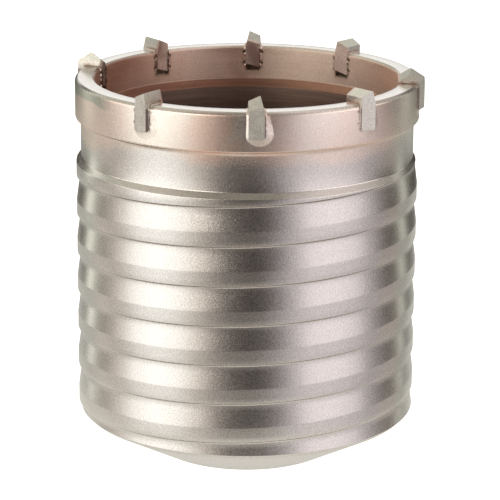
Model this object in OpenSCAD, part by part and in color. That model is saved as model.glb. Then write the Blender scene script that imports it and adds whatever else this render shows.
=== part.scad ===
// Hollow core cutter crown: one turned steel cup with a helical dust groove,
// brazed cutting plates round its rim and a screw hole in its closed end.
// Millimetres. Z is the turning axis, z = 0 is the flat back face, the teeth point up.

/* [Size] */

// Nominal size: diameter of the circle that the teeth cut
cut_d = 90; // [80:1:100]
// How far the teeth stand out of the collar
tooth_proud = 1.35; // [0.8:0.05:1.6]
// Thickness of the collar's wall
collar_wall = 4.95; // [4.5:0.05:5.6]
// How far the cup's inner wall steps in below the collar
bore_step = 1.9; // [1.6:0.1:2.2]
// How far the helical land lies inside the collar's outer face
land_step = 0.15; // [0.1:0.05:0.2]
// How far the plain neck lies inside the collar's outer face
neck_step = 1.35; // [1.15:0.05:1.6]

/* [Back end] */

// Radius of the flat back face
back_r = 23.7; // [20:0.1:26]
// Height of the shallow cone between the back face and the shell
back_cone_h = 9.9; // [8:0.1:12]
// Chamfer between the cone and the shell
back_chamfer = 1.5; // [0.8:0.1:2]
// Thickness of the floor of the cup, which is also the length of the screw hole
floor_t = 15; // [13:0.5:20]
// Diameter of the screw hole before its thread is cut
screw_hole_d = 19.5; // [17:0.1:24]

/* [Shell] */

// Height of the rim above the back face
rim_z = 97.5; // [92:0.5:104]
// Distance from the rim down to the neck's lower end
neck_drop = 20; // [18:0.5:22]
// Height of the sloping shoulder between the neck and the land
shoulder_h = 1.4; // [1:0.1:2]
// Radius of the fillet between the cup's wall and its floor
floor_fillet = 3; // [1:0.5:6]

/* [Collar] */

// Height of the collar
collar_h = 9.9; // [9:0.1:11]
// Chamfer on the rim's outer edge
rim_chamfer = 0.75; // [0.4:0.05:0.9]
// Chamfer on the rim's inner edge
rim_inner_chamfer = 0.6; // [0.3:0.05:0.8]
// Small chamfer on the collar's lower edge
collar_edge = 0.35; // [0.2:0.05:0.5]
// Radius of the fillet between the collar and the neck
collar_fillet = 1; // [0.6:0.1:1]
// Depth of the collar's wider bore, down to its tapered step
collar_bore_depth = 8.7; // [8.2:0.1:9.5]

/* [Helical groove] */

// Rise of the groove in one turn
groove_pitch = 9.97; // [9.5:0.01:10.5]
// Depth of the groove below the land, at its steep side
groove_depth = 0.78; // [0.5:0.02:0.9]
// Width of the groove along the axis
groove_w = 6.28; // [5.5:0.02:6.8]
// Radius of the fillet at the groove's steep side
groove_fillet = 0.7; // [0.4:0.05:0.75]
// Distance from the rim to the groove's upper edge on the front side
groove_drop = 23.02; // [21:0.02:25]
// Steps in one turn of the groove
groove_steps = 90; // [60:6:120]

/* [Teeth] */

// Thickness of a tooth plate along the rim
tooth_w = 3.8; // [3.2:0.1:4.2]
// How far the plate's outer face falls back from its leading edge to its trailing edge
outer_relief = 0.85; // [0.3:0.05:1]
// How far the plate's leading edge stands inside the collar's bore
tooth_inset = 0.65; // [0.2:0.05:1]
// How far the plate's inner face falls back from its leading edge to its trailing edge
inner_relief = 0.65; // [0.3:0.05:0.65]
// How deep the plate sits below the rim
tooth_sink = 6.5; // [5.5:0.1:7.2]
// Slope of the plate's top, falling away from the leading edge, in degrees
top_relief = 23.5; // [15:0.5:27]
// Height of the pointed plates' ridge over the rim at the trailing side
ridge_rise = 2.35; // [2:0.05:2.8]
// How far the ridge of a pointed plate lies inside the collar's outer face
ridge_inset = 2.2; // [1.7:0.05:2.6]
// Slope of the two facets beside the ridge, in degrees
roof_slope = 33; // [25:1:36]
// Height of the straight plates' top over the rim at the trailing side
flat_rise = 1.7; // [1.2:0.05:2.2]
// Backward lean of the leading face above the rim, in degrees
rake = 13.5; // [5:0.5:16]
// Height of the cut at the foot of the plate's inner face
foot_cut = 0.9; // [0.4:0.1:1.2]
// How far that cut reaches under the plate
foot_depth = 2; // [1.5:0.1:2.5]
// Slope of that cut, in degrees
foot_slope = 25; // [15:1:30]
// Angle between neighbouring teeth of a group, in degrees
tooth_step = 38; // [36:0.5:39]
// Angle of the first tooth of the first group, in degrees
first_group = -125; // [-127:0.5:-122]
// Angle of the first tooth of the second group, in degrees
second_group = 50; // [48:0.5:55]

/* [Braze] */

// Thickness of the braze layer beside and under a plate
braze_gap = 0.2; // [0.1:0.05:0.25]
// Width of the braze bead beside a plate
bead_w = 0.6; // [0.4:0.05:0.8]
// Thickness of the braze bead on the rim and on the wall
bead_t = 0.4; // [0.25:0.05:0.5]
// Radius of the rounded braze mound in front of the collar
mound_r = 8.3; // [7:0.1:9]
// Height of the mound over the collar
mound_t = 0.6; // [0.4:0.05:0.8]
// How much slimmer the mound is at the rim than at its foot
mound_taper = 0.35; // [0.1:0.05:0.45]
// Shift of the mound towards the leading side
mound_shift = 0.6; // [0:0.1:1]
// Distance from the rim down to the middle of the mound's round foot
mound_drop = 5.2; // [4.6:0.1:5.3]
// Radius of the braze notches along the slot's sides
notch_r = 0.4; // [0.3:0.05:0.45]
// Distance of the notches' middle from the slot's side
notch_shift = 0.3; // [0.3:0.05:0.4]
// How far the notches reach into the wall from the bore
notch_depth = 2.4; // [1.5:0.1:3.2]
// Distance from the rim down to the upper row of notches
notch_drop_1 = 1.6; // [1.4:0.1:2]
// Distance from the rim down to the lower row of notches
notch_drop_2 = 4.5; // [4:0.1:5]

/* [Hidden] */

// Teeth in one group and in all
group_n = 4;
tooth_n = 2 * group_n;
$fn = 96;

// Radii of the shell, all from the nominal size
cut_r = cut_d / 2;
collar_r = cut_r - tooth_proud;
land_r = collar_r - land_step;
neck_r = collar_r - neck_step;
collar_bore_r = collar_r - collar_wall;
cup_r = collar_bore_r - bore_step;
// Radii of the plates
tooth_inner_r = collar_bore_r - tooth_inset;
ridge_r = collar_r - ridge_inset;
// Heights of the outer shape
collar_z = rim_z - collar_h;
neck_z = rim_z - neck_drop;
shoulder_z = neck_z - shoulder_h;
shell_z = back_cone_h + back_chamfer;
// Heights of the inner shape
step_top_z = rim_z - collar_bore_depth;
step_z = step_top_z - (collar_bore_r - cup_r);
// Half the thickness of a plate and of its slot
tooth_half = tooth_w / 2;
slot_half = tooth_half + braze_gap;
// Radius of the leading edge along the plate's own middle plane
lead_r = sqrt(cut_r * cut_r - tooth_half * tooth_half);
// Length by which a cutting shape runs past the part
past = 6;
reach = 2 * past;
// Start and length of the cuts that go right through the collar's wall
through_x = cup_r - past / 2;
through = cut_r - cup_r + past;

// Angle of tooth k, counted from 0
function tooth_angle(k) =
    (k < group_n ? first_group : second_group) + tooth_step * (k % group_n);

// Outline of the turned cup on one side of the axis
module cup_outline() {
    difference() {
        polygon([
            [0, 0], [back_r, 0],
            [land_r - back_chamfer, back_cone_h], [land_r, shell_z],
            [land_r, shoulder_z], [neck_r, neck_z],
            [neck_r, collar_z], [collar_r - collar_edge, collar_z],
            [collar_r, collar_z + collar_edge],
            [collar_r, rim_z - rim_chamfer], [collar_r - rim_chamfer, rim_z],
            [0, rim_z]]);
        cup_hollow();
    }
    collar_fillet_shape();
}

// Fillet under the collar
module collar_fillet_shape() {
    x = neck_r + collar_fillet;
    difference() {
        translate([neck_r - 0.1, collar_z - collar_fillet])
            square([collar_fillet + 0.1, collar_fillet + 0.1]);
        translate([x, collar_z - collar_fillet]) circle(r = collar_fillet);
    }
}

// Space inside the cup, with the tapered step and the floor's fillet
module cup_hollow() {
    f = floor_fillet;
    difference() {
        polygon([
            [-1, floor_t], [cup_r, floor_t],
            [cup_r, step_z], [collar_bore_r, step_top_z],
            [collar_bore_r, rim_z - rim_inner_chamfer],
            [collar_bore_r + rim_inner_chamfer + past, rim_z + past],
            [-1, rim_z + past]]);
        difference() {
            translate([cup_r - f, floor_t]) square([f, f]);
            translate([cup_r - f, floor_t + f]) circle(r = f);
        }
    }
}

// The turned cup before grooving and slotting
module turned_cup() {
    rotate_extrude() cup_outline();
}

// Section of the groove: radius and height relative to its upper edge
function groove_section() =
    let (r = land_r - groove_depth,
         f = groove_fillet,
         low = -groove_w - 0.05 * (groove_w - f) / groove_depth,
         arc = [for (a = [120, 150]) [r + f * (1 + cos(a)), f * (sin(a) - 1)]],
         slope = -arc[0][1] / (land_r - arc[0][0]))
    [[land_r + 0.9, 0.9 * slope], arc[0], arc[1], [r, -f],
     [land_r + 0.05, low], [land_r + 0.9, low]];

// Helical cutter, from below the shell to the middle of the neck
module groove_cutter() {
    sec = groove_section();
    m = len(sec);
    z_low = back_cone_h - 1;
    z_high = collar_z - 2 * collar_fillet;
    n = floor((z_high - z_low) / groove_pitch * groove_steps);
    z_front = rim_z - groove_drop;
    pts = [for (i = [0:n], p = sec)
        let (z = z_low + i * groove_pitch / groove_steps,
             a = -90 + 360 * (z - z_front) / groove_pitch)
        [p[0] * cos(a), p[0] * sin(a), z + p[1]]];
    sides = [for (i = [0:n - 1], j = [0:m - 1])
        let (a = i * m + j, b = i * m + (j + 1) % m)
        each [[a, b, b + m], [a, b + m, a + m]]];
    polyhedron(points = pts, faces = concat(
        [[for (j = [m - 1:-1:0]) j]], sides,
        [[for (j = [0:m - 1]) n * m + j]]), convexity = 10);
}

// Turns a shape drawn for the direction X to the place of tooth k
module at_tooth(k) {
    rotate([0, 0, tooth_angle(k)]) translate([0, 0, rim_z]) children();
}

// Slot for a plate: X runs outward, Y towards the leading side, Z = 0 is the rim
module slot() {
    translate([through_x, -slot_half, -tooth_sink - braze_gap])
        cube([through, 2 * slot_half, tooth_sink + braze_gap + past]);
}

// Round notches along both sides of the slot, open to it at the side and to the bore
module notches() {
    for (side = [-1, 1], drop = [notch_drop_1, notch_drop_2])
        translate([through_x, side * (slot_half + notch_shift), -drop])
            rotate([0, 90, 0])
                cylinder(r = notch_r, h = collar_bore_r + notch_depth - through_x);
}

// One cutting plate, pointed when ridged is true and straight otherwise
module plate(ridged) {
    top = ridged ? ridge_rise : flat_rise;
    slope = ridged ? roof_slope : 0;
    difference() {
        translate([0, 0, -tooth_sink]) linear_extrude(tooth_sink + past)
            polygon([
                [tooth_inner_r + inner_relief, -tooth_half],
                [lead_r - outer_relief, -tooth_half],
                [lead_r, tooth_half],
                [tooth_inner_r, tooth_half]]);
        // top facets
        translate([ridge_r, -tooth_half, top]) rotate([top_relief, 0, 0])
            translate([0, reach, 0]) rotate([90, 0, 0]) linear_extrude(2 * reach)
                polygon([
                    [0, 0], [reach, -reach * tan(slope)], [reach, reach],
                    [-reach, reach], [-reach, -reach * tan(slope)]]);
        // leaning leading face
        translate([ridge_r - reach, tooth_half, 0]) rotate([rake, 0, 0])
            cube([2 * reach, past, reach]);
        // cut at the foot of the inner face
        translate([tooth_inner_r + foot_depth, -tooth_half, -tooth_sink])
            rotate([atan(foot_cut / tooth_w), 0, 0]) rotate([0, foot_slope, 0])
                translate([-reach, -past, -reach]) cube([reach, reach + past, reach]);
    }
}

// Braze of one plate: the layer in the slot, a bead round it and a mound outside
module braze(k, ridged) {
    at_tooth(k) difference() {
        union() {
            intersection() {
                translate([through_x, -tooth_half - bead_w, -tooth_sink - bead_w])
                    cube([through, tooth_w + 2 * bead_w, tooth_sink + bead_w + past]);
                collar_ring(bead_t);
            }
            mound();
        }
        // the collar's wall, which only the slot opens to the braze
        difference() {
            collar_ring(0);
            slot();
        }
        plate(ridged);
        notches();
        // the braze stops short of the plate's inner face
        translate([through_x, -tooth_half, -tooth_sink - past])
            cube([collar_bore_r + bead_t - through_x, tooth_w, tooth_sink + reach]);
    }
}

// Rounded mound of braze outside the collar, below the rim
module mound() {
    x = collar_r + mound_t - mound_r;
    intersection() {
        translate([x, mound_shift, -mound_drop]) rotate([0, 0, 180]) rotate_extrude()
            union() {
                polygon([
                    [0, 0], [mound_r, 0],
                    [mound_r - mound_taper, mound_drop], [0, mound_drop]]);
                intersection() {
                    circle(r = mound_r);
                    translate([0, -mound_r]) square([mound_r, mound_r]);
                }
            }
        translate([collar_r - mound_t, -mound_r, -collar_h + collar_edge])
            cube([3 * mound_t, 2 * mound_r, collar_h - collar_edge - rim_chamfer / 2]);
    }
}

// Collar's ring of wall around the rim, thickened by t on all its free sides
module collar_ring(t) {
    c = rim_chamfer;
    b = rim_inner_chamfer;
    rotate([0, 0, 180]) rotate_extrude()
        polygon([
            [collar_bore_r - t, -collar_h], [collar_r + t, -collar_h],
            [collar_r + t, -c + t / 2], [collar_r - c + t / 2, t],
            [collar_bore_r + b - t / 2, t], [collar_bore_r - t, -b + t / 2]]);
}

// The steel cup: turned, grooved, slotted for the teeth and bored at the back
module core_body() {
    color([0.74, 0.71, 0.66]) difference() {
        turned_cup();
        groove_cutter();
        for (k = [0:tooth_n - 1]) at_tooth(k) {
            slot();
            notches();
        }
        translate([0, 0, -past]) cylinder(d = screw_hole_d, h = floor_t + reach);
    }
}

// Tooth k: every second plate is pointed
module tooth(k) {
    color([0.62, 0.6, 0.55]) at_tooth(k) plate(k % 2 == 1);
}

// Braze of tooth k
module tooth_braze(k) {
    color([0.8, 0.74, 0.66]) braze(k, k % 2 == 1);
}

core_body();
tooth(0);  // tooth_1
tooth(1);  // tooth_2
tooth(2);  // tooth_3
tooth(3);  // tooth_4
tooth(4);  // tooth_5
tooth(5);  // tooth_6
tooth(6);  // tooth_7
tooth(7);  // tooth_8
tooth_braze(0);  // braze_1
tooth_braze(1);  // braze_2
tooth_braze(2);  // braze_3
tooth_braze(3);  // braze_4
tooth_braze(4);  // braze_5
tooth_braze(5);  // braze_6
tooth_braze(6);  // braze_7
tooth_braze(7);  // braze_8
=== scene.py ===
import math

import bpy
import bmesh
import numpy as np
from mathutils import Matrix, Vector


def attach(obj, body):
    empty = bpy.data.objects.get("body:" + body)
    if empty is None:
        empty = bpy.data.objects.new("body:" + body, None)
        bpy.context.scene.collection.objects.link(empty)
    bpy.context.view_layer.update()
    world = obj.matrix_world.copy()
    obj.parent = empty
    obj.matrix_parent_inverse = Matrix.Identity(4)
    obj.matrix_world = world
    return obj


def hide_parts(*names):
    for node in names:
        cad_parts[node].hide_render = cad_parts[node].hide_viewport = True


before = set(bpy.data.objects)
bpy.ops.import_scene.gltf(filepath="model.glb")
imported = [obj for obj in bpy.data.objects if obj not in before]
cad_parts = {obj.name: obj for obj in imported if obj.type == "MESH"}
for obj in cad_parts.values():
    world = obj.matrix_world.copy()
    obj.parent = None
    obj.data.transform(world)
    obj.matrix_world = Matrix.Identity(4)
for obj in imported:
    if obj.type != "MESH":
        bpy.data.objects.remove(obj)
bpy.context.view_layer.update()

MM = 0.001

# the cup in millimetres, as in the part's source; heights are above the back face
COLLAR_R = 43.65
LAND_R = 43.5
NECK_R = 42.3
BORE_R = 38.7
CUP_R = 36.8
BACK_R = 23.7
RIM_Z = 97.5
COLLAR_Z = RIM_Z - 9.9
NECK_Z = RIM_Z - 20.0
SHOULDER_Z = NECK_Z - 1.4
STEP_TOP = RIM_Z - 8.7
STEP_Z = STEP_TOP - (BORE_R - CUP_R)
FLOOR_T = 15.0
CONE_H = 9.9
CHAMFER = 1.5
RIM_CHAMFER = 0.75
INNER_CHAMFER = 0.6
FLOOR_FILLET = 3.0

# the helical groove: its upper edge is at GROOVE_Z on the -Y side
PITCH = 9.97
GROOVE_DEPTH = 0.78
GROOVE_W = 6.28
GROOVE_F = 0.7
GROOVE_Z = RIM_Z - 23.02

# the screw hole and the thread in it
HOLE_R = 9.75
THREAD_R = 11.0
THREAD_P = 2.5
MOUTH_R = THREAD_R + 0.5

# the plates, their slots and the notches beside them; drops are measured down from the rim
ANGLES = [-125 + 38 * k for k in range(4)] + [50 + 38 * k for k in range(4)]
TOOTH_HALF = 1.9
TOOTH_DROP = 6.5
SLOT_HALF = 2.1
SLOT_DROP = 6.7
NOTCH_R = 0.4
NOTCH_SHIFT = 0.3
NOTCH_DEPTH = 2.4
NOTCH_DROPS = (4.5, 1.6)

# what only the picture has: a wider fillet under the collar, and the mesh's fineness
COLLAR_FILLET = 1.25
COLS = 420
COLUMN_TOP = NECK_Z + 3
THREAD_COLS = 120
THREAD_ROWS = 72
BROKEN_EDGE = 0.13

# the braze: the mound on the collar is part of a rod with a ball end
CORNER_R = 0.6
MOUND_R = 8.3
MOUND_OUT = 0.6
MOUND_SHIFT = 0.6
MOUND_DROP = 5.2
VOID_DROP = 6.6
# for each plate: the bead's height and width, the share of the mound, how browned it is
BEAD = (0.28, 0.60, 0.9, 0.9)
BEADS = {1: (0.18, 0.55, 0.55, 0.85), 2: (0.30, 0.55, 1.0, 0.5),
         3: (0.20, 0.55, 0.6, 0.85), 4: (0.24, 0.60, 0.7, 1.1)}

# the camera, fitted to the edges in the photograph
CAMERA_AT = (0.000936, -0.60902, 0.22360)
CAMERA_DOWN = 15.78
CAMERA_ROLL = 0.0069
CAMERA_LENS = 176.48

# the studio round the object: degrees from the front, positive to the right, then level and tint
WARM = (1.0, 0.93, 0.88)
GREEN = (1.0, 1.03, 0.95)
WHITE = (1.0, 1.02, 1.02)
LILAC = (1.0, 0.95, 1.02)
BROWN = (1.0, 0.90, 0.85)
OLIVE = (1.0, 0.98, 0.84)
HORIZON = [
    (-180, 0.10, WARM), (-152, 0.08, OLIVE), (-141, 0.14, OLIVE), (-131, 1.22, GREEN),
    (-122, 0.48, GREEN), (-114, 0.29, OLIVE), (-104, 0.42, WARM), (-92, 0.76, WARM),
    (-80, 1.26, WHITE), (-62, 1.5, WHITE), (-46, 1.25, WHITE), (-31, 0.74, WARM),
    (-21, 0.28, BROWN), (-10, 0.09, BROWN), (3, 0.05, BROWN), (12, 0.08, BROWN),
    (21, 0.22, LILAC), (31, 0.55, LILAC), (43, 1.0, LILAC), (60, 1.02, LILAC),
    (75, 0.88, LILAC), (92, 0.38, LILAC), (102, 0.19, BROWN), (111, 0.09, BROWN),
    (119, 0.16, OLIVE), (129, 0.68, GREEN), (139, 0.10, OLIVE), (155, 0.03, BROWN),
    (180, 0.10, WARM)]
LOW = [
    (-180, 0.50, WARM), (-154, 0.50, GREEN), (-134, 0.45, GREEN), (-113, 0.60, WARM),
    (-100, 0.48, WARM), (-90, 0.58, WARM), (-75, 0.94, WHITE), (-60, 1.04, WHITE),
    (-48, 0.90, WHITE), (-38, 0.64, WARM), (-29, 0.42, WARM), (-18, 0.20, BROWN),
    (-6, 0.10, BROWN), (8, 0.10, BROWN), (20, 0.28, LILAC), (32, 0.54, LILAC),
    (46, 0.70, LILAC), (62, 0.68, LILAC), (78, 0.58, LILAC), (95, 0.42, LILAC),
    (113, 0.42, BROWN), (134, 0.36, GREEN), (154, 0.55, GREEN), (180, 0.62, WARM)]


# profiles and small helpers
def link(obj):
    """Puts a new object into the scene."""
    bpy.context.scene.collection.objects.link(obj)
    return obj


def rounded(corners, steps=3):
    """Profile through corners (r, z, radius), each rounded by an arc of its own radius."""
    out = [corners[0][:2]]
    for before, corner, after in zip(corners, corners[1:], corners[2:]):
        r = corner[2]
        p = np.array(corner[:2], float)
        a = np.array(before[:2], float) - p
        b = np.array(after[:2], float) - p
        la, lb = np.linalg.norm(a), np.linalg.norm(b)
        a, b = a / la, b / lb
        half = math.acos(max(-1, min(1, float(a @ b)))) / 2
        if r <= 0 or half > 1.55:
            out.append(tuple(p))
            continue
        d = min(r / math.tan(half), 0.45 * la, 0.45 * lb)
        r = d * math.tan(half)
        middle = p + (a + b) / np.linalg.norm(a + b) * (r / math.sin(half))
        s, e = p + a * d - middle, p + b * d - middle
        sweep = math.pi - 2 * half
        turn = 1 if s[0] * e[1] - s[1] * e[0] > 0 else -1
        for k in range(steps + 1):
            t = turn * sweep * k / steps
            v = (s[0] * math.cos(t) - s[1] * math.sin(t),
                 s[0] * math.sin(t) + s[1] * math.cos(t))
            out.append((middle[0] + v[0], middle[1] + v[1]))
    out.append(corners[-1][:2])
    return out


def outward(mesh, merge=0.0):
    """Turns the faces outwards, after merging points that are closer than merge."""
    bm = bmesh.new()
    bm.from_mesh(mesh)
    if merge:
        bmesh.ops.remove_doubles(bm, verts=bm.verts, dist=merge)
        bmesh.ops.dissolve_degenerate(bm, edges=bm.edges, dist=merge)
    bmesh.ops.recalc_face_normals(bm, faces=bm.faces)
    bm.to_mesh(mesh)
    bm.free()


def smooth(mesh, sharp_angle):
    """Smooth shading, with edges sharper than the angle in degrees kept."""
    mesh.polygons.foreach_set("use_smooth", [True] * len(mesh.polygons))
    mesh.set_sharp_from_angle(angle=math.radians(sharp_angle))


# the shell with its helical groove
def groove_section():
    """Heights from the groove's upper edge and radii there, going down, with both edges broken."""
    floor_r = LAND_R - GROOVE_DEPTH
    corners = [(0.8, LAND_R, 0), (0.0, LAND_R, BROKEN_EDGE)]
    for a in range(120, 181, 12):
        t = math.radians(a)
        corners.append((GROOVE_F * (math.sin(t) - 1), floor_r + GROOVE_F * (1 + math.cos(t)), 0))
    corners += [(-GROOVE_W, LAND_R, 2.5), (-GROOVE_W - 1, LAND_R, 0)]
    return sorted(rounded(corners)[1:-1], key=lambda q: -q[0])


SECTION = groove_section()
SECTION_Z = np.array([p[0] for p in SECTION][::-1])
SECTION_R = np.array([p[1] for p in SECTION][::-1])
CUTS = [p[0] for p in SECTION] + [-2.2, -3.7, -5.0, -7.4, -8.6]


def groove_r(z, edge):
    """Radius of the land or the groove at height z, where one turn of its upper edge is at edge."""
    d = z - edge
    if d > 0.4:
        d -= PITCH * math.ceil(d / PITCH - 1e-9)
    while d < 0.4 - PITCH:
        d += PITCH
    if d > SECTION_Z[-1] or d < SECTION_Z[0]:
        return LAND_R
    return float(np.interp(d, SECTION_Z, SECTION_R))


def blank_profile():
    """Outer profile (r, z) of the turned blank, from the foot of the cone to the neck."""
    profile = rounded([
        (BACK_R, 0.0, 0), (LAND_R - CHAMFER, CONE_H, 0.5), (LAND_R, CONE_H + CHAMFER, 0.35),
        (LAND_R, SHOULDER_Z, 0.2), (NECK_R, NECK_Z, 0.6), (NECK_R, COLUMN_TOP, 0)])
    return np.array([(r, z) for r, z in profile if z > 0]).T


def column_heights(edge, blank_z):
    """Heights of one column's points: the blank's corners and every turn of the groove."""
    heights = set(float(z) for z in blank_z)
    turn = -9
    while edge + turn * PITCH < COLUMN_TOP + PITCH:
        for dz in CUTS:
            z = edge + turn * PITCH + dz
            if CONE_H + 0.2 < z < NECK_Z - 0.2:
                heights.add(z)
        turn += 1
    return sorted(heights)


def shell_column(theta, blank_r, blank_z):
    """Points (r, z) up the shell at one angle: the smaller radius of the blank and the groove."""
    edge = GROOVE_Z + PITCH * (((theta + 90) % 360) / 360)
    rows = [(z, float(np.interp(z, blank_z, blank_r)), groove_r(z, edge))
            for z in column_heights(edge, blank_z)]
    crossed = []
    for a, b in zip(rows, rows[1:]):
        crossed.append(a)
        da, db = a[1] - a[2], b[1] - b[2]
        if da * db < 0:
            t = da / (da - db)
            r = a[1] + t * (b[1] - a[1])
            crossed.append((a[0] + t * (b[0] - a[0]), r, r))
    crossed.append(rows[-1])
    column = []
    for z, blank, groove in crossed:
        r = min(blank, groove) if CONE_H < z < NECK_Z + 1 else blank
        if not column or z - column[-1][1] >= 0.012:
            column.append((r, z))
    if column[-1][1] != COLUMN_TOP:
        column[-1] = (NECK_R, COLUMN_TOP)
    return column


def zip_columns(za, ia, zb, ib, faces):
    """Triangles between two sorted rows of points, along the shortest diagonals."""
    a = b = 0
    na, nb = len(za), len(zb)
    while a < na - 1 or b < nb - 1:
        if a == na - 1:
            step_b = True
        elif b == nb - 1:
            step_b = False
        else:
            step_b = abs(zb[b + 1] - za[a]) < abs(za[a + 1] - zb[b])
        if step_b:
            faces.append((ia[a], ib[b], ib[b + 1]))
            b += 1
        else:
            faces.append((ia[a], ib[b], ia[a + 1]))
            a += 1


def ring_points(verts, z, radius, count):
    """Adds a ring of points, with one radius or a function of the angle; gives their indices."""
    first = len(verts)
    for i in range(count):
        angle = 360.0 * i / count
        r = radius(angle) if callable(radius) else radius
        t = math.radians(angle)
        verts.append((r * math.cos(t), r * math.sin(t), z))
    return list(range(first, len(verts)))


def bridge(lower, upper, faces, flip):
    """Quads between two closed rings with as many points."""
    for i in range(len(lower)):
        j = (i + 1) % len(lower)
        if flip:
            faces.append((lower[j], lower[i], upper[i], upper[j]))
        else:
            faces.append((lower[i], lower[j], upper[j], upper[i]))


def ring_join(ring_a, ring_b, faces, flip):
    """Triangles between two closed rings with different numbers of points."""
    a = b = 0
    na, nb = len(ring_a), len(ring_b)
    while a < na or b < nb:
        turn_a = b >= nb or (a < na and 360.0 * (a + 1) / na <= 360.0 * (b + 1) / nb)
        third = ring_a[(a + 1) % na] if turn_a else ring_b[(b + 1) % nb]
        face = (ring_a[a % na], ring_b[b % nb], third)
        faces.append(face[::-1] if flip else face)
        if turn_a:
            a += 1
        else:
            b += 1


def lathe(verts, faces, profile, start, flip=False):
    """Turned surface from the ring start along the profile (r, z); gives its last ring."""
    ring = start
    for r, z in profile:
        last, ring = ring, ring_points(verts, z, r, COLS)
        bridge(last, ring, faces, flip)
    return ring


def collar_profile():
    """Profile (r, z) from the neck over the collar and the rim, down the bore to the floor."""
    f = COLLAR_FILLET
    corners = [(NECK_R, COLUMN_TOP, 0)]
    for a in range(0, 91, 15):
        t = math.radians(a)
        corners.append((NECK_R + f - f * math.cos(t), COLLAR_Z - f + f * math.sin(t), 0))
    corners += [
        (COLLAR_R - 0.2, COLLAR_Z, 0.1), (COLLAR_R, COLLAR_Z + 0.3, 0.12),
        (COLLAR_R, RIM_Z - RIM_CHAMFER, 1.0), (COLLAR_R - RIM_CHAMFER, RIM_Z, 0.5),
        (BORE_R + INNER_CHAMFER, RIM_Z, 0.3), (BORE_R, RIM_Z - INNER_CHAMFER, 0.3),
        (BORE_R, STEP_TOP, 0.2), (CUP_R, STEP_Z, 0.25), (CUP_R, FLOOR_T + FLOOR_FILLET, 0)]
    f = FLOOR_FILLET
    floor_arc = [(CUP_R - f + f * math.cos(math.radians(a)), FLOOR_T + f - f * math.sin(math.radians(a)))
                 for a in range(0, 91, 15)]
    return rounded(corners, 4)[1:-1] + floor_arc


def thread_r(theta, z):
    """Radius of the screw hole's thread, with a chamfer at both mouths."""
    t = ((z - THREAD_P * theta / 360.0) / THREAD_P) % 1.0
    w = abs(2 * t - 1)
    w = min(1.0, max(0.0, (w - 0.125) / 0.75))
    r = HOLE_R + (THREAD_R - HOLE_R) * (1 - w)
    return max(r, MOUTH_R - z, MOUTH_R - (FLOOR_T - z))


def threaded_hole(verts, faces):
    """Wall of the screw hole; gives its lowest and its highest ring."""
    rings = []
    for k in range(THREAD_ROWS + 1):
        z = FLOOR_T * k / THREAD_ROWS
        rings.append(ring_points(verts, z, lambda angle: thread_r(angle, z), THREAD_COLS))
        if k:
            bridge(rings[-2], rings[-1], faces, flip=True)
    return rings[0], rings[-1]


def slot_outline(notched):
    """Outline (y, z) of a slot, with its round notches or without; as many points either way."""
    half = math.acos(NOTCH_SHIFT / NOTCH_R)
    side = []
    for drop in NOTCH_DROPS:
        for k in range(13):
            if notched:
                a = math.pi + half + (2 * math.pi - 2 * half) * k / 12
                y, z = SLOT_HALF + NOTCH_SHIFT + NOTCH_R * math.cos(a), NOTCH_R * math.sin(a)
            else:
                y, z = SLOT_HALF, NOTCH_R * math.sin(half) * (k / 6 - 1)
            side.append((y, z - drop))
    outline = [(-SLOT_HALF, -SLOT_DROP), (SLOT_HALF, -SLOT_DROP)] + side
    outline += [(SLOT_HALF, 4.0), (-SLOT_HALF, 4.0)]
    return outline + [(-y, z) for y, z in side[::-1]]


def cut_slots(shell):
    """Cuts the eight slots out of the rim; their notches are blind from the bore."""
    verts, faces = [], []
    sections = ((35.0, True), (BORE_R + NOTCH_DEPTH, True), (BORE_R + NOTCH_DEPTH, False), (48.0, False))
    n = len(slot_outline(True))
    for angle in ANGLES:
        m = Matrix.Rotation(math.radians(angle), 4, "Z")
        base = len(verts)
        for x, notched in sections:
            for y, z in slot_outline(notched):
                verts.append(tuple(m @ Vector((x, y, z + RIM_Z)) * MM))
        faces.append(tuple(base + i for i in range(n - 1, -1, -1)))
        faces.append(tuple(base + 3 * n + i for i in range(n)))
        for k in range(3):
            for i in range(n):
                j = (i + 1) % n
                a, b = base + k * n, base + (k + 1) * n
                faces.append((a + i, a + j, b + j, b + i))
    mesh = bpy.data.meshes.new("slot_cutter")
    mesh.from_pydata(verts, [], faces)
    outward(mesh, merge=1e-7)
    cutter = link(bpy.data.objects.new("slot_cutter", mesh))
    cut = shell.modifiers.new("slots", "BOOLEAN")
    cut.operation = "DIFFERENCE"
    cut.solver = "EXACT"
    cut.object = cutter
    graph = bpy.context.evaluated_depsgraph_get()
    done = bpy.data.meshes.new_from_object(shell.evaluated_get(graph))
    shell.modifiers.clear()
    shell.data = done
    bpy.data.objects.remove(cutter)


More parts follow.
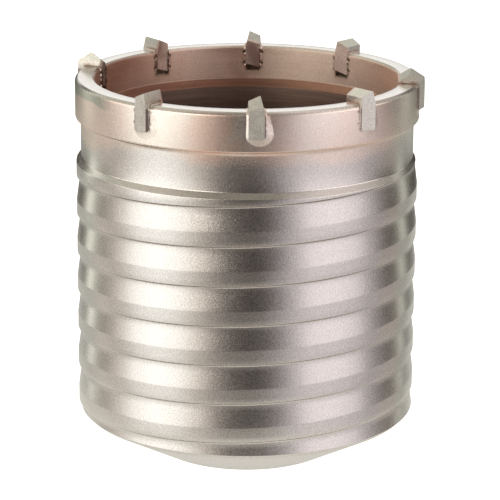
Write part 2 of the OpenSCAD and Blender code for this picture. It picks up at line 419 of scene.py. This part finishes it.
def make_shell():
    """The steel cup: columns up the grooved shell, turned surfaces, the screw hole and the slots."""
    blank_r, blank_z = blank_profile()
    verts, faces, columns = [], [], []
    for i in range(COLS):
        angle = 360.0 * i / COLS
        t = math.radians(angle)
        column = shell_column(angle, blank_r, blank_z)
        columns.append(([z for r, z in column], range(len(verts), len(verts) + len(column))))
        verts += [(r * math.cos(t), r * math.sin(t), z) for r, z in column]
    for i in range(COLS):
        zip_columns(*columns[i], *columns[(i + 1) % COLS], faces)
    floor_ring = lathe(verts, faces, collar_profile(), [ids[-1] for zs, ids in columns])
    cone = rounded([(LAND_R - CHAMFER, CONE_H, 0), (BACK_R, 0.0, 0.25), (MOUTH_R, 0.0, 0)])[1:-1]
    back_ring = lathe(verts, faces, cone, [ids[0] for zs, ids in columns], flip=True)
    hole_back, hole_floor = threaded_hole(verts, faces)
    ring_join(floor_ring, hole_floor, faces, False)
    ring_join(back_ring, hole_back, faces, True)

    mesh = bpy.data.meshes.new("shell")
    mesh.from_pydata([(x * MM, y * MM, z * MM) for x, y, z in verts], [], faces)
    mesh.update()
    outward(mesh)
    shell = link(bpy.data.objects.new("shell", mesh))
    cut_slots(shell)
    smooth(shell.data, 24)
    shell.data.materials.clear()
    shell.data.materials.append(BODY)
    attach(shell, "root")
    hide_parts("core_body")


# the braze: a melted surface over the collar round each plate
def hashed(i, j, seed):
    """Fixed random number from 0 to 1 for a place in a grid."""
    v = math.sin(i * 12.9898 + j * 78.233 + seed * 37.719) * 43758.5453
    return v - math.floor(v)


def value_noise(u, v, seed):
    """Smooth noise from -1 to 1."""
    i, j = math.floor(u), math.floor(v)
    a, b = u - i, v - j
    a, b = a * a * (3 - 2 * a), b * b * (3 - 2 * b)
    p = hashed(i, j, seed) * (1 - a) + hashed(i + 1, j, seed) * a
    q = hashed(i, j + 1, seed) * (1 - a) + hashed(i + 1, j + 1, seed) * a
    return 2 * (p * (1 - b) + q * b) - 1


def soft_max(a, b, k):
    """The larger of two heights, blended over about k."""
    return (a + b + math.sqrt((a - b) ** 2 + k * k)) / 2


def mark(d, r, level):
    """A mark of the given level in its middle, running out at distance r."""
    return level * max(0.0, 1 - d / r)


def fade_out(d, w):
    """1 beside the plate, running out softly at distance w and going a little under beyond it."""
    return (1 - d / w) ** 1.35 if d < w else max(-0.4, -1.2 * (d / w - 1))


def collar_path():
    """Points and normals (r, height over the rim) over the collar, from its outer wall to the bore."""
    pts = np.array(rounded([
        (COLLAR_R, -9.2, 0), (COLLAR_R, -RIM_CHAMFER, 1.0), (COLLAR_R - RIM_CHAMFER, 0.0, 0.5),
        (BORE_R + INNER_CHAMFER, 0.0, 0.3), (BORE_R, -INNER_CHAMFER, 0.3), (BORE_R, -7.6, 0)], 4))
    length = np.linalg.norm(np.diff(pts, axis=0), axis=1)
    at = np.concatenate([[0], np.cumsum(length)])
    s = np.linspace(0, at[-1], int(at[-1] / 0.17) + 1)
    r = np.interp(s, at, pts[:, 0])
    z = np.interp(s, at, pts[:, 1])
    dr, dz = np.gradient(r), np.gradient(z)
    step = np.hypot(dr, dz)
    return list(zip(r, z, dz / step, -dr / step))


def plate_distance(y, z, outer):
    """Distance from the plate's edge, negative on the plate, whose lower outer corners are round."""
    if outer and z < CORNER_R - TOOTH_DROP and abs(y) > TOOTH_HALF - CORNER_R:
        return math.hypot(max(0.0, abs(y) - TOOTH_HALF + CORNER_R), CORNER_R - TOOTH_DROP - z) - CORNER_R
    return abs(y) - TOOTH_HALF


def notch_distance(y, z, shift=NOTCH_SHIFT, squash=1.0):
    """Distance from the middle of the nearest notch."""
    return min(math.hypot(abs(y) - SLOT_HALF - shift, squash * (z + drop)) for drop in NOTCH_DROPS)


def mound_height(y, z):
    """Height of the mound over the collar's outer face."""
    if z > -MOUND_DROP:
        rho = MOUND_R - 0.35 * (MOUND_DROP + z) / MOUND_DROP
    else:
        rho = math.sqrt(max(0.01, MOUND_R ** 2 - (z + MOUND_DROP) ** 2))
    q = rho * rho - (y - MOUND_SHIFT) ** 2
    x = COLLAR_R + MOUND_OUT - MOUND_R + math.sqrt(q) if q > 0 else 0.0
    return x - math.sqrt(COLLAR_R ** 2 - y * y)


def braze_height(k, r, z, y, outer, inner):
    """Height of the braze at plate k over the collar's surface."""
    seed = 11 * k
    high, wide, share = BEADS.get(k, BEAD)[:3]
    beside = plate_distance(y, z, outer)
    away = max(beside, 0.0)
    wide += 0.04 * value_noise(z * 0.9 + r * 0.6, 3.0 if y > 0 else -3.0, seed)
    high += 0.03 * value_noise(z * 1.3, r * 1.1 + y, seed + 3)
    t = high * fade_out(away, wide)
    if inner:
        t = max(-0.12, 0.26 * (1 - (away / 0.48) ** 2)) + 0.05 * value_noise(z * 2.6, y, seed + 7)
    low = -TOOTH_DROP - z
    if low > 0 and (inner or (outer and abs(y) <= TOOTH_HALF - CORNER_R)):
        t = min(t, high * fade_out(low, wide))
    if outer:
        mound = share * max(-0.6, mound_height(y, z)) - 0.30 * max(0.0, -y - 2.0)
        if mound > 0:
            mound = 1.15 * mound * mound / (mound + 0.12)
        t = max(soft_max(t, mound, 0.16) - 0.03, -0.10)
        if k != 2 and notch_distance(y, z, 0.35, 0.8) < 0.42:
            t = max(t, 0.02)
    if inner:
        # open under the plate's foot, flush below that, and dented at the notches
        # the sheet under the foot is set back into the slot and painted dark as shade
        if beside < -0.1 and z > -VOID_DROP:
            t = -0.5
        elif z < -6.0:
            t = max(-0.25, 0.02 - 0.6 * max(0.0, abs(y) - SLOT_HALF, -VOID_DROP - z))
        cut = min(1.0, max(0.0, (0.5 - notch_distance(y, z)) / 0.3))
        t = t * (1 - cut) - 0.7 * cut
    if not (inner and z < -6.0):
        t += 0.008 * value_noise(z * 4, y * 4 + r * 3, seed + 9)
    return t


def browning_and_shade(k, z, y, outer, inner):
    """How browned the braze is at plate k, and where shade is painted: 1 is scorched, from about 1.8 it is
    painted shade, dark as a void.
    """
    burn = BEADS.get(k, BEAD)[3]
    beside = plate_distance(y, z, outer)
    level = 0.0
    if beside >= 0:
        # painted shade: the dark strip in the gap on the right of plate 2
        if outer and z > -6.2 and k == 2:
            level = mark(beside, 0.46, 1.9) if y > 0 else 0.0
        elif outer and z > -6.2:
            at = 0.36 + 0.10 * value_noise(z * 2.6, y, 11 * k + 5)
            level = mark(abs(beside - at), 0.18, 1.5 * burn)
        elif not inner:
            level = mark(beside, 0.45 if k == 4 else 0.30, burn)
        elif z > -5.6:
            level = mark(beside, 0.12, 0.8)
    if inner:
        # painted shade: the cavity under the plate's foot painted dark, and the braze below it darker
        if beside < -0.1 and z > -VOID_DROP:
            level = 2.0
        elif z < -6.0:
            level = 1.6 if beside < -0.1 else 0.0
        level = max(level, min(1.0, (0.5 - notch_distance(y, z)) / 0.3))
    elif outer and k != 2:
        level = max(level, mark(notch_distance(y, z, 0.35, 0.8), 0.42, 1.3 * burn))
    return level


def make_braze(k, angle):
    """The braze round plate k, as a sheet over the collar with a body under it."""
    spans = ((-4.3, -3.0, 6), (-3.0, -TOOTH_HALF, 11), (-TOOTH_HALF, TOOTH_HALF, 13),
             (TOOTH_HALF, 3.0, 11), (3.0, 4.9, 9))
    across = sorted({round(y, 4) for lo, hi, count in spans for y in np.linspace(lo, hi, count)})
    path = collar_path()
    m = Matrix.Rotation(math.radians(angle), 4, "Z")
    verts, brown, faces = [], [], []
    for r, z, nr, nz in path:
        outer, inner = nr > 0.9, nr < -0.9
        for y in across:
            t = braze_height(k, r, z, y, outer, inner)
            a, rr = y / r, r + nr * t
            p = Vector((rr * math.cos(a), rr * math.sin(a), z + nz * t + RIM_Z)) * MM
            verts.append(tuple(m @ p))
            brown.append(browning_and_shade(k, z, y, outer, inner))
    n = len(across)
    for i in range(len(path) - 1):
        for j in range(n - 1):
            a = i * n + j
            faces.append((a, a + 1, a + n + 1, a + n))
    mesh = bpy.data.meshes.new(f"braze_fill_{k}")
    mesh.from_pydata(verts, [], faces)
    scorch_and_shade = mesh.attributes.new("scorch_and_shade", "FLOAT", "POINT")
    scorch_and_shade.data.foreach_set("value", brown)
    mesh.polygons.foreach_set("use_smooth", [True] * len(mesh.polygons))
    mesh.materials.append(BRAZE)
    obj = link(bpy.data.objects.new(f"braze_fill_{k}", mesh))
    body = obj.modifiers.new("body", "SOLIDIFY")
    body.thickness = 0.3 * MM
    body.offset = -1
    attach(obj, "root")
    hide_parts(f"braze_{k}")


# the plates
def is_lower_corner(a, b):
    """Whether the edge from a to b (mm, plate turned to +X) is an outer lower corner of the plate."""
    return (max(a.z, b.z) < RIM_Z - TOOTH_DROP + 0.1 and abs(abs(a.y) - TOOTH_HALF) < 0.05
            and abs(a.y - b.y) < 0.05 and min(a.x, b.x) > 39.5)


def make_plate(k, angle):
    """The CAD plate with ground edges and rounded lower corners."""
    bm = bmesh.new()
    bm.from_mesh(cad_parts[f"tooth_{k}"].data)
    bmesh.ops.remove_doubles(bm, verts=bm.verts, dist=2e-6)
    bmesh.ops.dissolve_limit(bm, angle_limit=math.radians(2), verts=bm.verts, edges=bm.edges)
    inv = Matrix.Rotation(math.radians(-angle), 3, "Z")
    corner = [e for e in bm.edges if is_lower_corner(*[inv @ v.co / MM for v in e.verts])]
    bmesh.ops.bevel(bm, geom=corner, offset=0.55 * MM, segments=4, profile=0.5, affect="EDGES")
    sharp = [e for e in bm.edges if len(e.link_faces) == 2 and e.calc_face_angle(0) > math.radians(15)
             and e.calc_length() > 0.3 * MM]
    bmesh.ops.bevel(bm, geom=sharp, offset=0.11 * MM, segments=2, profile=0.5, affect="EDGES",
                    clamp_overlap=True)
    mesh = bpy.data.meshes.new(f"plate_{k}")
    bm.to_mesh(mesh)
    bm.free()
    side = mesh.attributes.new("side", "FLOAT", "FACE")
    side.data.foreach_set("value", [float(abs((inv @ p.normal).y) > 0.8) for p in mesh.polygons])
    smooth(mesh, 32)
    mesh.materials.clear()
    mesh.materials.append(CARBIDE)
    obj = link(bpy.data.objects.new(f"plate_{k}", mesh))
    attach(obj, "root")
    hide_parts(f"tooth_{k}")
    flat = obj.modifiers.new("flat_faces", "WEIGHTED_NORMAL")
    flat.weight = 100
    flat.keep_sharp = True


# node trees
class Tree:
    """Writes a node tree in few lines."""

    def __init__(self, nt):
        self.nt = nt

    def put(self, socket, v):
        """Sets a constant on the socket, or links a socket to it."""
        if isinstance(v, bpy.types.NodeSocket):
            self.nt.links.new(v, socket)
        elif v is not None:
            socket.default_value = v

    def new(self, kind, *inputs, op=None):
        n = self.nt.nodes.new(kind)
        if op:
            n.operation = op
        for i, v in enumerate(inputs):
            self.put(n.inputs[i], v)
        return n

    def math(self, op, a, b=None, c=None):
        return self.new("ShaderNodeMath", a, b, c, op=op).outputs[0]

    def all(self, *masks):
        """Product of masks."""
        out = masks[0]
        for mask in masks[1:]:
            out = self.math("MULTIPLY", out, mask)
        return out

    def ramp(self, v, lo, hi, a=0.0, b=1.0):
        """Goes softly from a to b while v goes from lo to hi."""
        n = self.new("ShaderNodeMapRange", v, lo, hi, a, b)
        n.interpolation_type = "SMOOTHSTEP"
        return n.outputs[0]

    def mix(self, fac, a, b):
        """Colour a where fac is 0, b where it is 1."""
        n = self.nt.nodes.new("ShaderNodeMix")
        n.data_type = "RGBA"
        self.put(n.inputs[0], fac)
        self.put(n.inputs[6], a if isinstance(a, bpy.types.NodeSocket) else (*a, 1.0))
        self.put(n.inputs[7], b if isinstance(b, bpy.types.NodeSocket) else (*b, 1.0))
        return n.outputs[2]


class Material(Tree):
    """A new material; x, y, z and the radius r are places on the object in millimetres."""

    def __init__(self, name):
        self.material = bpy.data.materials.new(name)
        self.material.use_nodes = True
        super().__init__(self.material.node_tree)
        self.bsdf = self.nt.nodes["Principled BSDF"]
        self.coord = self.nt.nodes.new("ShaderNodeTexCoord").outputs["Object"]
        place = self.new("ShaderNodeVectorMath", self.coord, (1 / MM,) * 3, op="MULTIPLY").outputs[0]
        self.x, self.y, self.z = self.new("ShaderNodeSeparateXYZ", place).outputs
        flat = self.new("ShaderNodeCombineXYZ", self.x, self.y).outputs[0]
        self.r = self.new("ShaderNodeVectorMath", flat, op="LENGTH").outputs["Value"]

    def set(self, name, v):
        """Sets or links an input of the material's surface."""
        self.put(self.bsdf.inputs[name], v)

    def noise(self, scale, detail=2.0, rough=0.5, stretch=None):
        """Noise from 0 to 1 with so many waves a metre."""
        place = self.coord
        if stretch:
            place = self.new("ShaderNodeVectorMath", place, stretch, op="MULTIPLY").outputs[0]
        n = self.nt.nodes.new("ShaderNodeTexNoise")
        self.put(n.inputs["Vector"], place)
        n.inputs["Scale"].default_value = scale
        n.inputs["Detail"].default_value = detail
        n.inputs["Roughness"].default_value = rough
        return n.outputs["Fac"]

    def scaled(self, colour, factor):
        n = self.new("ShaderNodeVectorMath", colour, op="SCALE")
        self.put(n.inputs["Scale"], factor)
        return n.outputs[0]

    def attribute(self, name):
        n = self.nt.nodes.new("ShaderNodeAttribute")
        n.attribute_name = name
        return n.outputs["Fac"]

    def bump(self, height, distance, strength):
        n = self.nt.nodes.new("ShaderNodeBump")
        n.inputs["Strength"].default_value = strength
        n.inputs["Distance"].default_value = distance
        self.put(n.inputs["Height"], height)
        self.set("Normal", n.outputs[0])


def heat_tint(m):
    """Colours that the brazing heat leaves on the collar: grey-green at the upper left, pinker elsewhere."""
    patch = m.noise(38.0, 3.0)
    spot = m.noise(75.0)
    tint = m.mix(m.ramp(patch, 0.42, 0.56), (0.93, 0.825, 0.72), (0.97, 0.80, 0.69))
    front = m.all(m.ramp(m.x, -20, -8), m.ramp(m.x, 14, 4), m.ramp(m.y, -20, -30), m.ramp(spot, 0.38, 0.52))
    tint = m.mix(front, tint, (0.95, 0.72, 0.60))
    edge = m.math("MULTIPLY_ADD", m.math("SUBTRACT", spot, 0.5), 4.0, m.z)
    band = m.all(m.ramp(edge, RIM_Z - 3.2, RIM_Z - 2.6), m.ramp(m.x, -32.5, -36.5), 0.85)
    return patch, m.mix(band, tint, (0.57, 0.58, 0.495))


def inside_colour(m, mottle, patch):
    """Inside of the cup: browned by the heat near the rim, red-brown on the step, dark below it; lighter
    towards the right as painted light, and darker towards the left.
    """
    # painted light: the bore, the step and the deep inside are made lighter towards the right, where the
    # light from the left falls
    right = m.ramp(m.x, -4, 18)
    bore = m.mix(m.ramp(patch, 0.38, 0.60), (0.72, 0.46, 0.37), (0.98, 0.75, 0.62))
    bore = m.mix(m.math("MULTIPLY", right, 0.75), bore, (1.0, 0.81, 0.67))
    bore = m.mix(m.ramp(m.x, -14, -30, 0.0, 0.6), bore, (0.46, 0.25, 0.19))
    step = m.mix(mottle, (0.20, 0.092, 0.062), (0.34, 0.18, 0.125))
    step = m.mix(right, step, (0.44, 0.25, 0.175))
    deep = m.mix(mottle, (0.24, 0.18, 0.155), (0.34, 0.26, 0.22))
    deep = m.mix(right, deep, (0.38, 0.275, 0.225))
    inside = m.mix(m.ramp(m.z, STEP_Z - 0.3, STEP_Z + 0.1), deep, step)
    inside = m.mix(m.ramp(m.z, STEP_TOP - 0.4, STEP_TOP + 0.3), inside, bore)
    # turning marks, faint on the bore
    streak = m.ramp(m.noise(1.0, 3.0, 0.6, stretch=(45.0, 45.0, 1500.0)), 0.30, 0.70, -1.0, 1.0)
    depth = m.ramp(m.z, STEP_TOP - 0.4, STEP_TOP + 0.3, 0.14, 0.04)
    return m.scaled(inside, m.math("MULTIPLY_ADD", streak, depth, 1.0))


def painted_corner_shade(m):
    """Painted shade: dark lines in the corner under each land, and under the collar at the left, where shade
    falls.
    """
    turn = m.math("DIVIDE", m.math("ARCTAN2", m.y, m.x), 2 * math.pi)
    row = m.math("SUBTRACT", m.math("DIVIDE", m.math("SUBTRACT", m.z, GROOVE_Z), PITCH), turn)
    below = m.math("FRACT", m.math("SUBTRACT", row, 0.25))
    land = m.all(m.ramp(below, 0.958, 0.968), m.ramp(m.r, LAND_R - 0.05, LAND_R - 0.1),
                 m.ramp(m.z, 11.0, 11.4), m.ramp(m.z, SHOULDER_Z + 0.1, SHOULDER_Z - 0.3),
                 m.ramp(m.r, 41.5, 42.0))
    collar = m.all(m.ramp(m.z, COLLAR_Z - 0.65, COLLAR_Z - 0.5), m.ramp(m.z, COLLAR_Z + 0.15, COLLAR_Z),
                   m.ramp(m.r, 41.5, 42.0), m.ramp(m.r, LAND_R, LAND_R - 0.1),
                   m.ramp(m.x, -24, -12, 0.9, 0.08))
    return m.math("MAXIMUM", land, collar)


def body_material():
    """Blasted nickel plating, tinted by the brazing heat."""
    m = Material("blasted_nickel")
    mottle = m.noise(70.0, 4.0, 0.55)
    grit = m.noise(2600.0, 2.0, 0.6)
    patch, heat = heat_tint(m)
    below_top = m.ramp(m.z, RIM_Z - 0.1, RIM_Z - 0.5)
    # champagne nickel outside, pinker on the collar
    ragged_z = m.math("ADD", m.z, m.math("MULTIPLY", m.math("SUBTRACT", patch, 0.5), 12.0))
    tint = m.all(m.ramp(ragged_z, COLLAR_Z - 5.1, COLLAR_Z - 1.1), m.ramp(m.z, RIM_Z - 0.2, RIM_Z - 0.9))
    outside = m.mix(tint, m.mix(mottle, (0.76, 0.705, 0.645), (0.83, 0.78, 0.72)), heat)
    is_in = m.all(m.ramp(m.r, BORE_R + 0.5, BORE_R + 0.1), m.ramp(m.z, 12.0, FLOOR_T - 0.2))
    col = m.mix(is_in, outside, inside_colour(m, mottle, patch))
    # painted shade: dark lines in the corners under the lands and under the collar
    col = m.mix(m.math("MULTIPLY", painted_corner_shade(m), 0.92), col, (0.18, 0.135, 0.10))
    coarse = m.math("MULTIPLY", below_top, m.ramp(grit, 0.30, 0.70, -0.095, 0.095))
    m.set("Base Color", m.scaled(col, m.math("ADD", coarse, 1.0)))
    m.set("Metallic", 1.0)
    rough = m.math("ADD", m.ramp(mottle, 0.3, 0.7, 0.20, 0.24), m.math("MULTIPLY", tint, 0.09))
    rough = m.math("ADD", rough, m.ramp(grit, 0.30, 0.70, -0.03, 0.03))
    m.set("Roughness", m.math("ADD", rough, m.math("MULTIPLY", is_in, 0.14)))
    # grain of the blasting, and turning lines inside
    lines = m.math("MULTIPLY", m.noise(1.0, 3.0, 0.6, stretch=(20.0, 20.0, 5200.0)), is_in)
    grain = m.math("ADD", m.noise(2300.0, 2.0, 0.6), m.math("MULTIPLY", m.noise(4200.0, 1.0), 0.5))
    height = m.math("ADD", m.math("MULTIPLY", grain, 0.5), m.math("MULTIPLY", lines, 0.8))
    height = m.math("MULTIPLY", height, m.ramp(m.z, RIM_Z - 0.1, RIM_Z - 0.5, 0.25, 1.0))
    m.bump(height, 0.05 * MM, 0.6)
    return m.material


def carbide_material():
    """Sintered carbide, with braze film on its inner faces and brown marks at the rim; with painted shade on
    the sides below the rim and a painted grey-green reflection on the rear plates' upper parts.
    """
    m = Material("sintered_carbide")
    mottle = m.noise(420.0, 4.0, 0.6)
    patch = m.noise(160.0)
    grey = m.mix(mottle, (0.63, 0.59, 0.52), (0.86, 0.815, 0.735))
    # painted reflection: the upper part of the rear plates tinted grey-green, as the greenish light from
    # overhead behind mirrors in it
    back_top = m.all(m.ramp(m.z, RIM_Z + 1.0, RIM_Z + 1.8), m.ramp(m.y, -20, 0), 0.6)
    grey = m.mix(back_top, grey, (0.56, 0.575, 0.50))
    # a film of braze and heat colour on the inner faces
    film = m.mix(m.ramp(patch, 0.38, 0.6), (0.50, 0.30, 0.25), (0.86, 0.66, 0.57))
    film = m.mix(m.math("MULTIPLY", m.ramp(m.x, 12, 22), 0.8), film, (1.0, 0.76, 0.65))
    film = m.mix(m.ramp(m.x, -30, -36), film, (0.24, 0.15, 0.12))
    inner = m.all(m.ramp(m.r, BORE_R + 0.5, BORE_R), m.ramp(m.z, RIM_Z + 3.9, RIM_Z + 0.5, 0.3, 1.0))
    col = m.mix(m.math("MULTIPLY", inner, 0.85), grey, film)
    # browned by the braze where the plate meets the rim
    foot = m.all(m.ramp(m.z, RIM_Z + 1.1, RIM_Z + 0.2), m.ramp(m.z, RIM_Z - 0.3, RIM_Z),
                 m.ramp(m.r, BORE_R - 0.1, BORE_R + 0.3), m.ramp(m.r, COLLAR_R + 0.05, COLLAR_R - 0.65),
                 m.ramp(mottle, 0.35, 0.55))
    col = m.mix(foot, col, (0.46, 0.31, 0.25))
    # painted shade: the plate's sides darker below the rim, where the collar shades them
    side = m.all(m.attribute("side"), m.ramp(m.r, COLLAR_R - 0.85, COLLAR_R - 0.45),
                 m.ramp(m.z, RIM_Z - 0.5, RIM_Z - 0.9), m.ramp(m.z, 91.0, 91.2), 0.8)
    col = m.mix(side, col, (0.24, 0.19, 0.18))
    grit = m.ramp(m.noise(2600.0, 2.0, 0.6), 0.30, 0.70, 0.86, 1.12)
    m.set("Base Color", m.scaled(col, grit))
    m.set("Metallic", 0.85)
    m.set("Roughness", m.math("ADD", m.ramp(mottle, 0.3, 0.7, 0.31, 0.40), m.math("MULTIPLY", inner, 0.14)))
    m.bump(m.math("ADD", m.noise(2500.0, 2.0, 0.6), mottle), 0.06 * MM, 0.5)
    return m.material


def braze_material():
    """Silver braze: tinted as the collar outside, pinker in the bore, browned by its attribute, which also
    paints shade dark in the cavity under each plate's foot and in the gap beside plate 2.
    """
    m = Material("silver_braze")
    mottle = m.noise(500.0, 3.0, 0.6)
    tint = heat_tint(m)[1]
    inner = m.mix(mottle, (0.78, 0.60, 0.50), (1.0, 0.86, 0.76))
    inner = m.mix(m.ramp(m.z, RIM_Z - 6.1, RIM_Z - 6.3), inner, (0.97, 0.72, 0.60))
    col = m.mix(m.ramp(m.r, 41.0, 39.5), m.mix(0.2, tint, (0.92, 0.84, 0.74)), inner)
    col = m.scaled(col, m.ramp(m.noise(2600.0, 2.0, 0.6), 0.30, 0.70, 0.90, 1.10))
    scorch_and_shade = m.attribute("scorch_and_shade")
    brown = m.math("MULTIPLY", scorch_and_shade, m.ramp(mottle, 0.35, 0.6, 0.5, 1.0))
    col = m.mix(brown, col, (0.15, 0.08, 0.062))
    # painted shade: the cavity under the plate's feet and the gap beside plate 2, dark
    col = m.mix(m.ramp(scorch_and_shade, 1.2, 1.8), col, (0.19, 0.145, 0.10))
    m.set("Base Color", col)
    m.set("Metallic", 1.0)
    m.set("Roughness", m.ramp(mottle, 0.3, 0.7, 0.26, 0.38))
    m.bump(m.math("ADD", m.noise(2200.0, 2.0, 0.6), mottle), 0.08 * MM, 0.6)
    return m.material


def floor_material():
    """Pale translucent table, lit a little from below. Far from the object it doesn't show in the metal."""
    m = Material("pale_floor")
    m.set("Base Color", (0.45, 0.45, 0.45, 1))
    m.set("Roughness", 0.9)
    m.set("Specular IOR Level", 0.1)
    m.set("Emission Color", (0.98, 0.98, 0.93, 1))
    rays = m.nt.nodes.new("ShaderNodeLightPath").outputs
    m.set("Emission Strength", m.math("MULTIPLY_ADD", rays["Is Camera Ray"], 0.7, 0.50))
    near = m.ramp(m.r, 50, 105, 0.0, 0.82)
    far = m.ramp(m.r, 105, 290, 0.0, 0.18)
    keep = m.math("SUBTRACT", 1.0, m.math("ADD", near, far))
    keep = m.math("MULTIPLY", keep, m.ramp(m.x, 30, 85, 1.0, 0.2))
    fade = m.math("MULTIPLY", rays["Is Glossy Ray"], m.math("SUBTRACT", 1.0, keep))
    clear = m.nt.nodes.new("ShaderNodeBsdfTransparent")
    mixer = m.new("ShaderNodeMixShader", fade, m.bsdf.outputs[0], clear.outputs[0])
    m.put(m.nt.nodes["Material Output"].inputs["Surface"], mixer.outputs[0])
    return m.material


# the studio
def make_floor():
    """A plain floor under the object."""
    bm = bmesh.new()
    bmesh.ops.create_grid(bm, x_segments=1, y_segments=1, size=4.0)
    plane = bpy.data.meshes.new("floor")
    bm.to_mesh(plane)
    bm.free()
    plane.materials.append(floor_material())
    floor = link(bpy.data.objects.new("floor", plane))


def light_ring(w, turn, stops):
    """Light that changes with the direction round the object."""
    ramp = w.new("ShaderNodeValToRGB", turn)
    stripes = ramp.color_ramp
    stripes.interpolation = "EASE"
    stripes.elements.remove(stripes.elements[-1])
    for i, (degrees, level, tint) in enumerate(stops):
        place = (degrees + 180) / 360
        stripe = stripes.elements.new(place) if i else stripes.elements[0]
        stripe.position = place
        stripe.color = (level * tint[0], level * tint[1], level * tint[2], 1)
    return ramp.outputs[0]


def make_world():
    """Soft studio light from all round: bright and dark stripes that the metal mirrors."""
    world = bpy.data.worlds.new("studio")
    world.use_nodes = True
    bpy.context.scene.world = world
    w = Tree(world.node_tree)
    coord = w.nt.nodes.new("ShaderNodeTexCoord").outputs["Generated"]
    x, y, up = w.new("ShaderNodeSeparateXYZ", coord).outputs
    # turn is 0.5 at the front (-Y) and grows to the right
    azimuth = w.math("ARCTAN2", x, w.math("MULTIPLY", y, -1.0))
    turn = w.math("MULTIPLY_ADD", azimuth, 1 / (2 * math.pi), 0.5)
    off = w.math("ABSOLUTE", w.math("SUBTRACT", turn, 0.5))
    col = w.mix(w.ramp(up, -0.19, -0.26), light_ring(w, turn, HORIZON), light_ring(w, turn, LOW))
    # seen steeply from above, the table is light
    col = w.mix(w.ramp(up, -0.36, -0.80), col, (0.50, 0.465, 0.435))
    # behind the object the backdrop is bright
    col = w.mix(w.all(w.ramp(up, 0.06, 0.20), w.ramp(y, 0.82, 0.94)), col, (1.14, 1.15, 1.15))
    # a small white panel in front, to the left, a little above the rim
    panel = w.all(w.ramp(up, 0.08, 0.16), w.ramp(up, 0.42, 0.30),
                  w.ramp(turn, 0.360, 0.385), w.ramp(turn, 0.455, 0.435))
    col = w.mix(panel, col, (2.9, 2.75, 2.55))
    # brighter bands at both sides, seen in the rounded edges
    bands = w.all(w.ramp(up, 0.12, 0.20), w.ramp(up, 0.42, 0.32),
                  w.ramp(off, 0.12, 0.15), w.ramp(off, 0.31, 0.27))
    col = w.mix(bands, col, (1.85, 1.76, 1.68))
    # overhead it is soft and plain
    front = w.mix(w.ramp(turn, 0.42, 0.26), (0.26, 0.24, 0.21), (0.64, 0.60, 0.54))
    front = w.mix(w.ramp(turn, 0.58, 0.70), front, (0.80, 0.74, 0.735))
    rear = w.mix(w.ramp(x, 0.05, 0.45), (0.53, 0.54, 0.48), (0.45, 0.425, 0.40))
    over = w.mix(w.ramp(y, -0.10, 0.45), front, rear)
    col = w.mix(w.ramp(up, 0.30, 0.60), col, over)
    background = w.nt.nodes["Background"]
    w.put(background.inputs[0], col)
    background.inputs[1].default_value = 1.0


def make_top_light():
    """A large soft light above and behind the object, out of the camera's sight."""
    lamp = bpy.data.lights.new("top_soft", "AREA")
    lamp.shape = "RECTANGLE"
    lamp.size, lamp.size_y = 1.2, 0.9
    lamp.energy = 1.5
    lamp.color = (1.0, 0.98, 0.95)
    light = link(bpy.data.objects.new("top_soft", lamp))
    light.location = (0.0, 0.85, 0.95)
    aim = Vector((0, 0, 0.05)) - light.location
    light.rotation_euler = aim.to_track_quat("-Z", "Y").to_euler()
    light.visible_camera = False


def make_camera():
    """The photograph's camera."""
    data = bpy.data.cameras.new("camera")
    data.sensor_width = 36.0
    data.lens = CAMERA_LENS
    data.clip_start = 0.01
    data.clip_end = 20
    camera = link(bpy.data.objects.new("camera", data))
    camera.matrix_world = (Matrix.Translation(CAMERA_AT)
                           @ Matrix.Rotation(math.radians(90 - CAMERA_DOWN), 4, "X")
                           @ Matrix.Rotation(CAMERA_ROLL, 4, "Z"))
    bpy.context.scene.camera = camera
    bpy.context.scene.view_settings.view_transform = "Standard"


BODY = body_material()
CARBIDE = carbide_material()
BRAZE = braze_material()

make_shell()
for k, angle in enumerate(ANGLES, 1):
    make_plate(k, angle)
    make_braze(k, angle)

make_floor()
make_world()
make_top_light()
make_camera()
